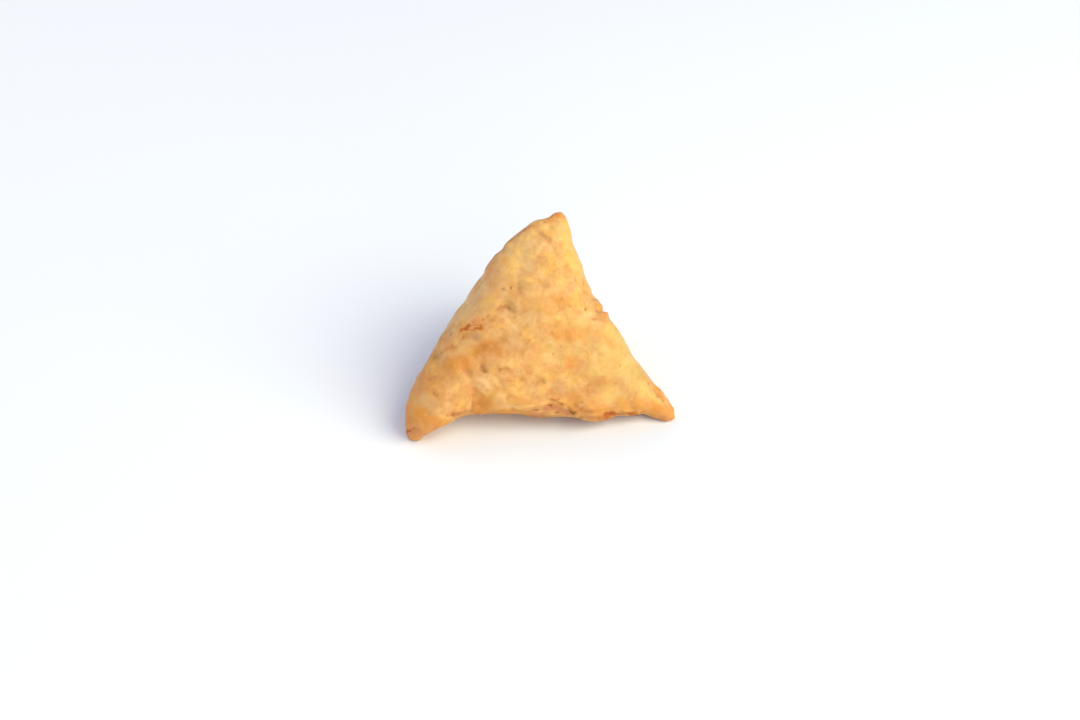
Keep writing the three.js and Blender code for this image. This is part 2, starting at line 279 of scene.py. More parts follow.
def wander(p):
    """Each coordinate is shifted by a wave along the next one, so that no crest runs straight."""
    waves = np.sin(2 * np.pi / WANDER_LENGTH * np.roll(p, -1, axis=1) + WANDER_PHASES)
    return p + WANDER_SHIFT * waves


def ripple_height(p, wavelength, height, phase):
    """Plane waves of one wavelength, in directions spread over a sphere by the golden angle."""
    i = np.arange(RIPPLE_DIRECTIONS)
    up = (2 * i + 1) / RIPPLE_DIRECTIONS - 1
    turn = np.pi * (3 - np.sqrt(5)) * i + phase
    directions = np.stack([np.sqrt(1 - up**2) * np.cos(turn), np.sqrt(1 - up**2) * np.sin(turn), up])
    waves = np.sin(2 * np.pi / wavelength * (p @ directions) + RIPPLE_SCATTER * i**2 + phase)
    return height * waves.sum(axis=1) / np.sqrt(RIPPLE_DIRECTIONS)


def fade(x, start, end):
    """From 0 at start to 1 at end, with level ends."""
    t = np.clip((x - start) / (end - start), 0, 1)
    return t * t * (3 - 2 * t)


def skin_distance(p):
    """The belly and the four corners, joined; then folds and seam go in and lumps come out."""
    distance = belly_distance(p)
    for places in PINCHES.values():
        distance = blend(distance, pinch_distance(p, places), CORNER_BLEND)
    distance += fold_depth(p) + seam_depth(p) - swell_height(p)
    share = fade(gap_to_tip(p), RIPPLES_START, RIPPLES_FULL)
    wandered = wander(p)
    for ripple in RIPPLES:
        distance -= share * ripple_height(wandered, *ripple)
    return distance


print("dough over the middles of the tips, mm:", (-skin_distance(TIPS)).round(1))

# %% [markdown]
# ## A grid on the skin
#
# A voxel remesh of the function would give steps and uneven faces on the thin corners. Instead each
# domed side gets a triangular grid of two parameters, the shares that pull a point to one corner or
# another, and the four grids are sewn together along their edges. The closed cage is then shrunk on
# to the skin, halved and shrunk again until its triangles are under half a millimetre.

# %% Four triangular grids, sewn together
CAGE_ROWS = 13
CAGE_REACH = 1.4
CAGE_PULL = 2.0
TOWARDS = np.array([(1, 1, 1), (-1, -1, 1), (1, -1, -1), (-1, 1, -1)]) / np.sqrt(3)


def side_grid(corners, rows):
    """All whole-number shares (i, j, rows - i - j) of three corners, and the triangles between
    them: each place with its next along i and j, and the triangle that closes the diamond."""
    i, j = (a.ravel() for a in np.meshgrid(np.arange(rows + 1), np.arange(rows + 1), indexing="ij"))
    shares = np.zeros((len(i), 4), int)
    shares[:, corners[0]] = i
    shares[:, corners[1]] = j
    shares[:, corners[2]] = rows - i - j
    at = np.arange(len(i))
    wide = rows + 1
    first = at[i + j < rows]
    second = at[i + j < rows - 1]
    faces = np.concatenate([
        np.stack([first, first + wide, first + 1], axis=1),
        np.stack([second + wide, second + wide + 1, second + 1], axis=1),
    ])
    return shares, faces


def start_cage():
    """A point lies in the direction that its four shares give, and then among the tips, by the
    exponential of how nearly it faces each one."""
    names = list(CORNER)
    shares, faces, count = [], [], 0
    for side, _, _ in SIDES:
        corners = [names.index(name) for name in side]
        side_shares, side_faces = side_grid(corners, CAGE_ROWS)
        shares.append(side_shares)
        faces.append(side_faces + count)
        count += len(side_shares)
    faces = np.concatenate(faces)
    shares, sewn = np.unique(np.concatenate(shares), axis=0, return_inverse=True)
    faces = sewn.reshape(-1)[faces]
    used, faces = np.unique(faces, return_inverse=True)
    faces = faces.reshape(-1, 3)
    direction = shares[used] @ TOWARDS
    direction /= np.linalg.norm(direction, axis=1, keepdims=True)
    pull = np.exp(CAGE_PULL * direction @ TOWARDS.T)
    pull /= pull.sum(axis=1, keepdims=True)
    middle = TIPS.mean(axis=0)
    points = middle + CAGE_REACH * (pull @ TIPS - middle)
    return points, face_outwards(points, faces)


def face_outwards(points, faces):
    """Turns round each triangle whose normal looks back at the middle of the cage."""
    a, b, c = (points[faces[:, k]] for k in range(3))
    inwards = (np.cross(b - a, c - a) * (a + b + c - 3 * points.mean(axis=0))).sum(axis=1) < 0
    return np.where(inwards[:, None], faces[:, ::-1], faces)


cage, cage_faces = start_cage()
print(len(cage), "points and", len(cage_faces), "triangles to start with")

# %% Shrinking the cage on to the skin, and halving it
PASSES = [60, 16, 8, 4, 3]  # at each fineness
LAST_PASSES = 3
EASE = 0.6
HELD_NEAR_TIP, FREE_FROM_TIP = 1.5, 11.0
LONGEST_MOVE = 2.0
PROBE = 0.02
TABLE_PRESS = 0.4


def edges_of(faces):
    """Every edge once, and for each triangle the numbers of its three edges."""
    pairs = np.sort(np.concatenate([faces[:, [0, 1]], faces[:, [1, 2]], faces[:, [2, 0]]]), axis=1)
    edges, number = np.unique(pairs, axis=0, return_inverse=True)
    return edges, number.reshape(3, -1).T


def halve(points, faces):
    """Splits every triangle in four at the middles of its edges."""
    edges, number = edges_of(faces)
    (a, b, c), (ab, bc, ca) = faces.T, (number + len(points)).T
    corners = [(a, ab, ca), (ab, b, bc), (ca, bc, c), (ab, bc, ca)]
    split = np.concatenate([np.stack(three, axis=1) for three in corners])
    return np.concatenate([points, points[edges].mean(axis=1)]), split


def slope_of(p, distance):
    """How skin_distance changes along x, y and z, from a small step each way."""
    steps = PROBE * np.eye(3)
    return np.stack([skin_distance(p + way) - distance for way in steps], axis=1) / PROBE


def settle(points, faces, passes, last_passes):
    """Moves each point to the skin along the slope. While easing, it also slides along the skin
    towards the middle of its neighbours, which evens out the triangles."""
    edges, _ = edges_of(faces)
    here, there = np.concatenate([edges, edges[:, ::-1]]).T
    neighbours = np.bincount(here)[:, None]
    for number in range(passes + last_passes):
        distance = skin_distance(points)
        slope = slope_of(points, distance)
        steepness = (slope**2).sum(axis=1, keepdims=True)
        move = np.clip(distance, -LONGEST_MOVE, LONGEST_MOVE)[:, None]
        points = points - move * slope / steepness
        if number < passes:
            total = np.stack([np.bincount(here, points[there, k]) for k in range(3)], axis=1)
            slide = total / neighbours - points
            slide -= slope * (slide * slope).sum(axis=1, keepdims=True) / steepness
            free = fade(gap_to_tip(points), HELD_NEAR_TIP, FREE_FROM_TIP)
            points = points + EASE * free[:, None] * slide
    return points


points, faces = cage, cage_faces
for level, passes in enumerate(PASSES):
    if level:
        points, faces = halve(points, faces)
    points = settle(points, faces, passes, LAST_PASSES if level == len(PASSES) - 1 else 0)
print(len(points), "points and", len(faces), "triangles; farthest from the skin, mm:",
      round(float(np.abs(skin_distance(points)).max()), 4))

# %% Pressed on the table
def press_on_table(points):
    """Weight presses a small flat under each toe: what lies within TABLE_PRESS of the table is bent
    into it along half a parabola, and what would be below it is cut level."""
    z = points[:, 2]
    pressed = np.where(z >= TABLE_PRESS, z, np.clip(z + TABLE_PRESS, 0, None) ** 2 / (4 * TABLE_PRESS))
    return np.column_stack([points[:, :2], pressed])


def normals_of(points, faces):
    """At each point, the cross products of the edges of its triangles added up, at length one."""
    a, b, c = (points[faces[:, k]] for k in range(3))
    facing = np.repeat(np.cross(b - a, c - a), 3, axis=0)
    total = np.stack([np.bincount(faces.ravel(), facing[:, k]) for k in range(3)], axis=1)
    return total / np.linalg.norm(total, axis=1, keepdims=True)


skin = press_on_table(points)
middle = (skin.min(axis=0) + skin.max(axis=0)) / 2
skin[:, :2] -= middle[:2]
normals = normals_of(skin, faces)
print("skin, mm:", (skin.max(axis=0) - skin.min(axis=0)).round(2))

# %% [markdown]
# ## The relief of the crust
#
# Water boiling out of the dough lifts blisters, leaves pores where it breaks through, and sets the
# rest in soft lumps. All of it could be bump in the material, but then the outline stays smooth and a
# pit has no shadow. So what is about a millimetre wide or wider moves the mesh along its normals, and
# only finer grain is left to the material. Noise gives lumps all round, seeded draws give blisters and
# pores, and what one can point at on the front is placed one by one.

# %% Smooth noise
LATTICE_VALUES = 4096
LATTICE_MIX = np.array([73856093, 19349663, 83492791])  # large primes, which scatter the corners


def lattice(p, size, seed):
    """Noise from -1 to 1: a random value at each corner of cubes as wide as `size`, mixed inside
    the cube by how near each corner is, with level ends."""
    values = np.random.default_rng(seed).uniform(-1, 1, LATTICE_VALUES)
    cell = np.floor(p / size).astype(int)
    inside = fade(p / size - cell, 0, 1)
    total = np.zeros(len(p))
    for corner in np.ndindex(2, 2, 2):
        number = np.bitwise_xor.reduce((cell + corner) * LATTICE_MIX, axis=1) % LATTICE_VALUES
        total += np.where(corner, inside, 1 - inside).prod(axis=1) * values[number]
    return total


LUMPS = [(6.3, 0.13, 11), (3.1, 0.09, 12), (1.5, 0.045, 13)]  # width, height, seed
LUMPS_START, LUMPS_FULL, LEAST_LUMPS = 0.0, 9.0, 0.5  # distances from a tip, and the share on it
lump_share = LEAST_LUMPS + (1 - LEAST_LUMPS) * fade(gap_to_tip(skin), LUMPS_START, LUMPS_FULL)
wandering = wander(skin)
relief = lump_share * sum(height * lattice(wandering, width, seed) for width, height, seed in LUMPS)
print("lumps, mm:", relief.min().round(2), "to", relief.max().round(2))

# %% [markdown]
# ## Marks placed one by one
#
# A torn flake or a scorched streak has a place of its own. It could be given in millimetres, but one
# points at it more easily in the camera's view. So each mark is a short line between pixels of that
# view, across and down, and falls on the points of the front that are seen nearest to them. From
# there on it lies on the dough, and it is right from any side.

# %% The front as the camera sees it
PICTURE = np.array([1080, 720])  # pixels across and down
LENS, SENSOR = 85, 36  # mm
CAMERA_DISTANCE, LOOK_AT = 772, np.array([-0.15, -2.0, 8.0])  # mm
FRONT_LEAN = np.radians(38)  # how far the camera looks down
TO_FRONT = np.array([0, -np.cos(FRONT_LEAN), np.sin(FRONT_LEAN)])
UP_FRONT = np.array([0, np.sin(FRONT_LEAN), np.cos(FRONT_LEAN)])
PIXEL = 0.293  # mm of crust that a pixel covers


def seen_at(p):
    """Pixels of each point: how far it is across and below the middle of the picture is what it lies
    beside the camera's line of sight, times the focal length in pixels, over its depth."""
    offset = p - LOOK_AT
    depth = CAMERA_DISTANCE - offset @ TO_FRONT
    beside = np.stack([offset[:, 0], -offset @ UP_FRONT], axis=1)
    return PICTURE / 2 + beside * (LENS / SENSOR * PICTURE[0] / depth)[:, None]


FACING_LEAST = 0.02
FRONT_ENDS, FRONT_FULL = -0.35, 0.0  # the front's marks fade out just behind its edge
facing = normals @ TO_FRONT
on_front = np.flatnonzero(facing > FACING_LEAST)
front_share = fade(facing, FRONT_ENDS, FRONT_FULL)
seen = seen_at(skin)


def in_pairs(numbers):
    """Numbers in turn as a list of x and y."""
    return np.reshape(numbers, (-1, 2))


def drop(places):
    """The points of the front that are seen nearest to the given pixels."""
    gaps = np.linalg.norm(seen[on_front] - in_pairs(places)[:, None], axis=2)
    return on_front[gaps.argmin(axis=1)]


print(len(on_front), "of", len(skin), "points face the front")

# %% Pits, folds and torn edges of the front
# Each mark is its half width in pixels, its rise in mm (below 0: a pit or fold), and x and y of each
# of its places in turn.
DETAILS = {
    "pit_on_the_left": [
        (2.6, -0.3, 480.5, 366.5, 484, 369), (2, 0.15, 479, 373, 488, 375), (2.5, 0.1, 486, 363),
    ],
    "crevice": [
        (2.4, -0.22, 499, 306, 504, 308, 508, 309), (1.6, -0.25, 508, 309, 514, 312),
        (2.2, 0.15, 500, 312, 510, 315),
    ],
    "torn_flake": [
        (1.8, -0.25, 461, 331, 467, 327), (1.6, -0.22, 475, 329, 482, 327),
        (2, 0.18, 467, 324, 478, 318, 489, 314), (2.5, 0.12, 464, 334, 480, 332),
    ],
    "blister_by_the_tip": [
        (2.4, 0.18, 541, 243), (2.6, 0.2, 548, 246), (2, 0.14, 545, 251),
        (2.1, -0.28, 534, 231, 541, 235, 548, 240), (2.5, 0.15, 537, 228, 545, 233),
    ],
    "lobe_of_the_left_leg": [
        (2, 0.2, 467, 390, 470, 398, 470, 411), (3, -0.1, 474, 394, 476, 402, 475, 411),
        (7, 0.08, 457, 389), (6, 0.15, 438, 408), (4, -0.15, 444, 384), (3, -0.12, 450, 400),
    ],
    "left_toe": [
        (1.6, -0.22, 418, 416, 423, 421, 424, 428), (5, 0.15, 414, 424),
        (1.9, -0.25, 409, 433, 415, 428),
    ],
    "crumbs_under_the_left_leg": [
        (1.8, 0.3, 452, 421), (1.4, -0.25, 447, 416, 452, 415), (1.4, 0.2, 455, 417),
        (2, 0.15, 441, 424), (1.2, -0.2, 446, 421),
    ],
    "left_blisters": [
        (1.7, -0.2, 462, 337), (2.6, 0.15, 477, 338), (1.5, -0.25, 450, 333), (2, 0.1, 459, 335),
    ],
    "seam_lip": [
        (1.9, 0.2, 549, 397, 559, 401, 566, 403, 571, 408, 578, 414), (1.4, -0.4, 549, 400, 556, 402),
        (1.2, -0.25, 558, 404.5, 563, 405), (1.5, -0.4, 567, 408, 569, 411),
        (1.3, -0.3, 572, 413, 575, 413), (1.3, -0.25, 550, 404, 550, 408), (1.4, -0.25, 557, 412),
        (1.4, -0.2, 534, 410, 537, 410),
    ],
    "nick_of_the_right_ridge": [
        (1.8, -0.95, 597, 308.8, 605, 309.8), (2.8, 0.4, 596.5, 301.5, 601.5, 306),
        (2.4, 0.5, 603.5, 312.5, 606.5, 314),
    ],
    "edge_of_the_front": [
        (5, 0.4, 512, 238, 500, 251, 486, 267), (4, 0.12, 534, 221, 524, 228),
        (4, 0.4, 580, 265, 583, 275), (4, 0.25, 427, 354, 423, 364), (4, 0.3, 405, 425, 406, 433),
        (3, -0.4, 593, 293, 594, 297), (3.5, -0.2, 571, 239, 575, 252), (3, 0.3, 670, 400, 673, 408),
        (3, 0.3, 624, 339, 627, 345), (3, 0.2, 480, 414, 500, 414), (3, 0.3, 637, 413, 655, 417),
        (3, 0.3, 628, 414, 637, 414), (3, -0.25, 664, 421, 669, 420),
        (5, -0.3, 595, 299, 603, 309, 609, 318), (4, -0.2, 650, 376, 664, 395),
        (4, 0.3, 633, 350, 640, 366),
    ],
    "right_flap": [
        (2.6, -0.3, 606, 415, 613, 414), (1.8, 0.25, 600, 419, 612, 418),
        (1.9, -0.2, 631, 413, 642, 411),
    ],
    "rim_of_the_right_leg": [
        (1.5, -0.25, 653, 387, 660, 396, 665, 403), (2, 0.12, 657, 386, 664, 395), (1.4, -0.2, 659, 397),
    ],
    "flattened_ridge": [
        (1.7, -0.14, 562, 228, 566, 245, 568, 262, 577, 278),
    ],
    "wrinkles": [
        (1.5, -0.1, 536, 249, 546, 255), (1.5, -0.25, 547, 253, 556, 255, 562, 260, 566, 265),
        (1.6, -0.24, 519, 252, 528, 254, 537, 257, 545, 260), (2.4, 0.14, 523, 249, 536, 253),
        (1.5, -0.3, 504, 243, 515, 238), (1.4, -0.22, 501, 252, 509, 251),
        (1.3, -0.1, 551, 341, 557, 337), (1.5, -0.13, 585, 352, 588, 360, 586, 366),
        (1.3, -0.12, 592, 371, 596, 376), (1.6, -0.12, 551, 227, 557, 238, 561, 243),
        (1.6, 0.1, 503, 318, 515, 330), (2, -0.15, 537, 312, 537, 322),
        (1.8, -0.2, 433, 358, 445, 353, 456, 347), (1.3, -0.12, 620, 363, 623, 370),
        (1.6, 0.1, 487, 287, 482, 295), (1.8, -0.1, 495, 378, 502, 386), (1.6, 0.1, 571, 342, 578, 346),
        (1.3, -0.08, 548, 345, 545, 350),
    ],
    "dimples": [
        (7, -0.28, 587, 387, 601, 384), (4.5, -0.22, 570, 363), (3.5, -0.25, 541, 382),
        (4, -0.25, 518, 284, 517, 292), (5, -0.15, 543, 287), (3, -0.15, 455, 396), (3, -0.15, 506, 371),
        (2, -0.2, 595, 320), (5, -0.15, 552, 390),
    ],
    "bumps": [
        (6, 0.28, 514, 264), (4.5, 0.28, 485, 385), (9, 0.32, 602, 397), (5, 0.2, 562, 378),
        (4.5, 0.25, 503, 402, 540, 403), (4.5, 0.15, 587, 317), (4, 0.12, 562, 300), (6, 0.15, 540, 272),
        (7, 0.12, 548, 310), (9, 0.2, 598, 345), (5, 0.12, 500, 350), (3.5, 0.15, 575, 286),
        (6, 0.12, 520, 335), (5, 0.15, 495, 408), (5, 0.15, 586, 404),
    ],
}
ROUND_THE_EDGE = ("nick_of_the_right_ridge", "edge_of_the_front")  # as wide behind the edge as on it
EDGE_ENDS, EDGE_FULL = -0.7, -0.3  # of the facing
edge_share = fade(facing, EDGE_ENDS, EDGE_FULL)

for name, marks in DETAILS.items():
    for half_width, rise, *places in marks:
        if name in ROUND_THE_EDGE:
            gap = gap_to_line(seen, in_pairs(places))
            relief += rise * bell(gap, half_width) * edge_share
        else:
            gap = gap_to_line(skin, skin[drop(places)])
            relief += rise * bell(gap, half_width * PIXEL)
print(sum(len(marks) for marks in DETAILS.values()), "marks by hand")

# %% Small blisters and pores, drawn by chance
BLISTERS, BLISTER_RADII, BLISTER_STEEPNESS = 130, (0.6, 1.7), 0.1
PORES, PORE_REACH, PORE_DEPTH = 70, 0.8, 0.2
HIDDEN_BELOW = 0.5  # of the front's share
DRAW_SEED = 5
draw = np.random.default_rng(DRAW_SEED)


def dome(centre, radius):
    """One at the centre and nothing past the radius: the square of one less the squared distance
    over the squared radius."""
    return np.clip(1 - ((skin - centre) ** 2).sum(axis=1) / radius**2, 0, 1) ** 2


for centre, radius in zip(draw.choice(len(skin), BLISTERS), draw.uniform(*BLISTER_RADII, BLISTERS)):
    relief += BLISTER_STEEPNESS * radius * dome(skin[centre], radius)
chance_pores = draw.choice(np.flatnonzero(front_share < HIDDEN_BELOW), PORES)
pore_share = np.max([dome(skin[pore], PORE_REACH) for pore in chance_pores], axis=0)
relief -= PORE_DEPTH * pore_share
surface = skin + relief[:, None] * normals
surface[:, 2] = np.maximum(surface[:, 2], skin[:, 2].min())
print("relief, mm:", relief.min().round(2), "to", relief.max().round(2))

# %% [markdown]
# ## The colours of frying, and painted light and shade
#
# Raw dough is cream. In the oil it turns golden, then orange, then brown, first where it is thin,
# stands out or touches the hot pan. The colour could come from noise alone, but then no place on the
# crust has a history. Here each tint is one number a point: on the front it comes from marks placed
# one by one, and all round from noise, with more browning on the toes and the tip.

# Some tints on the front also paint light and shade: sheen and highlights where lumps and ridges face
# the lamps, and shade in grooves, on the left flank and along the lower edge.
# %% Marks of each tint on the front
# By tint and strength, each mark is its half width in pixels, and x and y of its places in turn.
FAINT, CLEAR, STRONG, FULL = 0.25, 0.5, 0.8, 1
MARKS = {
    # oil-soaked dough, and painted shade in the groove beside the tip and on the left flank, away from
    # the key lamp
    "moist_and_shade": {
        FAINT: [
            (6, 510, 333, 520, 340), (5, 527, 288, 547, 285), (2, 551, 227, 557, 238),
            (3, 537, 313, 537, 321), (6, 553, 386, 562, 391), (6, 620, 383, 630, 400),
            (6, 484, 372, 478, 362), (2, 552, 259, 566, 268),
        ],
        CLEAR: [
            (9, 497, 276, 496, 291), (4.5, 517, 283, 516, 294), (9, 447, 334, 453, 348),
            (9, 478, 298, 456, 322), (4, 463, 300, 458, 307), (3.2, 539, 236, 548, 240),
            (5, 505, 252, 497, 262),
        ],
        STRONG: [(5, 472, 335, 481, 340), (5, 495, 306, 504, 311)],
    },
    # thin, quickly fried dough, and painted light on the lumps below the tip and on the lower roll,
    # which face the lamps
    "golden": {
        FAINT: [
            (4, 500, 256, 497, 264), (4, 548, 219, 545, 226), (4, 518, 257, 520, 265),
            (4, 528, 397, 534, 401), (6, 528, 308, 530, 320), (9, 598, 392, 605, 402),
            (5, 562, 377, 570, 379), (5, 497, 366, 512, 364), (5, 530, 296, 545, 292),
            (9, 520, 365, 540, 360), (5, 545, 230, 543, 233), (4, 503, 384, 508, 388),
            (8, 536, 305, 552, 320),
        ],
        CLEAR: [
            (5, 535, 222, 531, 241), (5, 521, 238, 521, 247), (5, 510, 248, 512, 258),
            (4, 508, 399, 516, 406), (4.5, 457, 386, 460, 393), (6, 519, 280, 530, 279),
            (3, 501, 402, 512, 406), (2.5, 514, 414, 518, 415),
        ],
        STRONG: [
            (5, 528, 240, 529, 253), (4, 524, 248, 530, 252), (4, 524, 264, 528, 267),
            (7, 514, 259, 515, 267), (4.5, 503, 403, 545, 403), (5, 625, 342, 635, 358),
            (5, 538, 370, 546, 374), (4, 509, 391, 513, 392), (3, 508, 408, 518, 409),
            (4, 560, 317, 564, 322),
        ],
    },
    # painted highlight: pale strips along the right ridge and the right leg, and the right side that
    # faces the key lamp
    "lime_and_highlight": {
        FAINT: [
            (8, 568, 318, 590, 324), (8, 552, 345, 560, 357), (9, 552, 345, 580, 352),
            (8, 560, 225, 556, 245, 562, 262), (7, 545, 262, 560, 278),
        ],
        CLEAR: [
            (2.5, 573, 268, 580, 279), (4, 630, 360, 636, 370), (6, 463, 382, 465, 402),
            (13, 600, 345, 615, 362, 640, 378), (5, 591, 345, 568, 309), (9, 588, 372, 615, 395),
        ],
        STRONG: [
            (4, 565, 225, 567, 246), (4, 569, 256, 575, 268), (3, 566, 238, 574, 256),
            (4.5, 641, 390, 650, 396, 657, 402), (5, 578, 268, 590, 286),
            (9, 610, 330, 625, 345, 634, 357), (5, 605, 334, 610, 338),
        ],
    },
    "toasted": {
        FAINT: [
            (3, 470, 325, 490, 316), (8, 436, 390, 436, 402), (3, 550, 400, 556, 401),
            (10, 462, 366, 470, 352), (5, 545, 309, 548, 305), (3, 500, 340, 499, 336),
            (7, 440, 365, 475, 372), (4, 496, 390, 510, 391), (6, 530, 323, 548, 326),
            (6, 560, 322, 575, 328), (6, 540, 350, 535, 358), (5, 535, 305, 545, 308),
        ],
        CLEAR: [
            (3.5, 459, 332, 470, 328, 482, 328), (8, 409, 436, 407, 412, 412, 392),
            (6, 412, 414, 418, 420), (9, 420, 378, 431, 379), (6, 603, 334, 612, 345),
            (4, 573, 359, 575, 361), (3, 478, 414), (4, 478, 412, 520, 412), (5, 425, 430, 414, 436),
            (3.5, 552, 216, 560, 216), (3.5, 520, 304, 540, 302), (2, 604, 313, 604, 316),
            (4, 455, 366, 462, 363), (3, 515, 351, 514, 357), (4.5, 583, 331, 597, 333),
            (6, 566, 358, 573, 367), (4, 512, 399, 533, 400), (5, 640, 402, 660, 407),
            (4, 548, 395, 560, 397), (7, 590, 405, 605, 415), (6, 620, 402, 645, 408),
            (2.5, 572, 272, 569, 270),
        ],
        STRONG: [
            (4, 598, 409, 613, 414), (6, 403, 430, 404, 410, 408, 398),
            (7, 406, 428, 412, 417, 420, 412), (5.5, 557, 299, 566, 301), (2.5, 596, 305, 601, 307),
            (4, 483, 346, 487, 344), (4, 495, 348, 499, 353), (4, 553, 334, 558, 337),
            (4.5, 567, 332, 578, 336), (6, 572, 404, 577, 397), (3, 652, 383, 664, 399),
            (6, 655, 410, 669, 412), (3.5, 670, 400, 672, 408), (7, 411, 408, 420, 411),
            (6, 425, 417, 440, 424), (7, 480, 405, 497, 404), (5, 478, 390, 480, 408),
            (3, 455, 413, 478, 412, 500, 413, 518, 415), (3, 455, 419, 459, 420),
            (5, 411, 386, 416, 377), (8, 413, 385, 424, 396),
        ],
        FULL: [(6.5, 479, 350, 489, 342), (7, 444, 367, 466, 362)],
    },
    "ruddy": {
        FAINT: [
            (2.5, 488, 268, 496, 257), (4, 516, 236, 510, 240), (4, 462, 360, 476, 366),
            (4, 412, 428, 422, 431), (2, 545, 240, 549, 243), (5, 490, 268, 486, 274),
            (5, 475, 284, 470, 292),
        ],
        CLEAR: [
            (3, 545, 219, 549, 221), (8, 408, 430, 416, 432), (4, 422, 368, 426, 378),
            (3, 408, 408, 409, 420), (4, 600, 380, 608, 383), (3, 469, 322, 488, 318),
            (3, 655, 413, 662, 418), (2.5, 560, 405, 548, 404), (3, 432, 422, 438, 426),
            (3.5, 571, 366, 566, 368),
        ],
        STRONG: [
            (3, 403, 426, 404, 412), (2.4, 549, 213, 554, 212), (2.5, 524, 230, 533, 226),
            (2.6, 512, 238, 520, 232), (2.6, 499, 252, 507, 243), (2.4, 523, 230, 530, 227),
            (1.6, 604, 314, 606, 315),
        ],
        FULL: [(3.6, 546, 217, 557, 214)],
    },
    # dry, dusty dough, and painted sheen on the left flank and painted highlights on lumps that face the
    # lamps
    "floury_and_sheen": {
        FAINT: [
            (3, 486, 358, 491, 366), (5, 486, 284, 474, 298), (6, 532, 300, 552, 290),
            (6, 515, 325, 528, 318), (5, 477, 304, 472, 310), (4, 507, 292, 508, 297),
            (3, 487, 336, 500, 333), (4, 542, 318, 528, 316), (3, 610, 400, 590, 408),
            (3, 446, 384, 449, 391), (3, 531, 273, 540, 277), (4, 538, 318, 531, 330),
            (3, 572, 342, 577, 345), (3, 487, 290, 484, 296), (3, 517, 248, 520, 246),
            (3, 490, 338, 494, 335),
        ],
        CLEAR: [
            (6, 455, 350, 467, 345), (4, 480, 378, 490, 388), (5, 477, 308, 470, 322),
            (4, 541, 244, 550, 248), (4, 511, 313, 513, 316), (5, 516, 340, 518, 343),
            (4, 505, 290, 506, 294), (4, 497, 401, 499, 404), (4.5, 514, 371, 517, 374),
            (4.5, 530, 322, 533, 326), (4, 491, 331, 493, 334), (4, 485, 315, 487, 319),
            (4, 500, 265, 503, 268), (5, 423, 401, 431, 409), (3, 530, 268, 537, 272),
            (1.6, 511, 273, 516, 274), (4.5, 583, 319, 591, 314), (3, 574, 286, 578, 288),
            (3, 434, 405, 440, 410), (3, 505, 315, 516, 328), (2, 482, 373, 489, 378),
            (3, 443, 358, 463, 350), (3, 500, 395, 505, 401), (2, 551, 341, 555, 344),
            (2, 563, 378, 568, 379), (2, 503, 385, 505, 387), (5, 596, 356, 604, 352),
            (4, 628, 357, 632, 360), (2.5, 521, 299, 519, 306), (3, 581, 381, 584, 385),
            (2.5, 549, 319, 551, 323),
        ],
        STRONG: [
            (1.8, 470, 396, 470, 409), (4, 480, 388, 484, 392), (8, 468, 304, 458, 320),
            (4.5, 533, 241, 528, 249), (4, 536, 244, 538, 247), (4, 521, 260, 528, 265),
            (1.8, 531, 260, 533, 265), (1.8, 526, 267, 529, 270), (1.8, 518, 271, 523, 273),
            (2.2, 504, 407, 515, 406), (4, 483, 380, 488, 388), (2.2, 468, 398, 469, 410),
            (1.6, 452, 420, 454, 423),
        ],
    },
    # browned dough, and painted shade along the lower edge of the front, where it turns under towards
    # the table
    "browned_and_edge_shade": {
        FAINT: [
            (1.4, 524, 256, 534, 261), (6, 445, 397, 437, 398), (5, 469, 400, 461, 391),
            (9, 449, 353, 459, 366), (4, 474, 335, 480, 339), (6, 431, 379, 420, 378),
            (7, 456, 355, 447, 341), (3, 468, 386, 474, 402), (5, 430, 362, 425, 372),
            (2, 571, 330, 570, 329), (3, 554, 405, 556, 404), (4, 583, 412, 588, 413),
            (2.5, 525, 410, 545, 409), (4, 622, 380, 615, 382), (3, 503, 340, 509, 334),
            (5, 470, 347, 478, 352), (4, 576, 282, 570, 290), (4, 555, 393, 548, 392),
            (5, 551, 392, 557, 396), (5, 482, 399, 490, 397),
        ],
        CLEAR: [
            (1.4, 503, 243, 512, 240), (7, 463, 372, 462, 394), (4, 451, 400, 452, 402),
            (6, 430, 380, 440, 381), (5, 481, 374, 484, 360), (4, 466, 334, 462, 338),
            (5, 592, 392, 588, 394), (7, 586, 388, 600, 384), (4, 538, 382, 543, 382),
            (3, 434, 357, 455, 348), (3, 456, 396, 454, 395), (2, 553, 334, 552, 333),
            (1.8, 563, 298, 561, 299), (2.4, 600, 309, 598, 310), (3, 577, 406, 573, 408),
            (3, 469, 372, 472, 373), (2, 498, 353, 500, 355), (2, 508, 398, 509, 397),
        ],
        STRONG: [
            (2.4, 546, 216, 552, 216), (1.8, 526, 230, 518, 236), (1.4, 648, 383, 657, 393, 664, 402),
            (1.6, 430, 357, 441, 353, 452, 345), (3, 596, 418, 606, 417, 614, 414),
            (4.5, 471, 396, 473, 410), (4, 455, 415, 480, 414, 505, 415),
            (4, 520, 416, 545, 417, 581, 418, 592, 418), (4, 575, 412, 592, 411),
            (3, 618, 415, 630, 413), (4, 604, 416, 618, 414), (3.5, 506, 242, 496, 254, 486, 267),
            (3.5, 500, 369, 510, 371), (2.2, 596, 319, 593, 320), (3, 435, 393, 437, 394),
            (3, 498, 309, 505, 307), (5, 484, 346, 494, 349),
        ],
    },
    # painted shade: the sheet set back below the seam's lip, and the lower edge of the front
    "under": {
        CLEAR: [(2.5, 515, 413, 545, 413)],
        STRONG: [(4.5, 548, 408, 566, 412)],
    },
    "scorched": {
        FAINT: [(1.3, 434, 357, 433, 358)],
        CLEAR: [
            (1.5, 470, 326, 479, 323), (1.3, 482, 321, 489, 316), (1.4, 466, 330, 474, 329),
            (1.5, 605, 418, 613, 418), (1.2, 551, 399, 559, 399), (1.3, 410, 431, 414, 428),
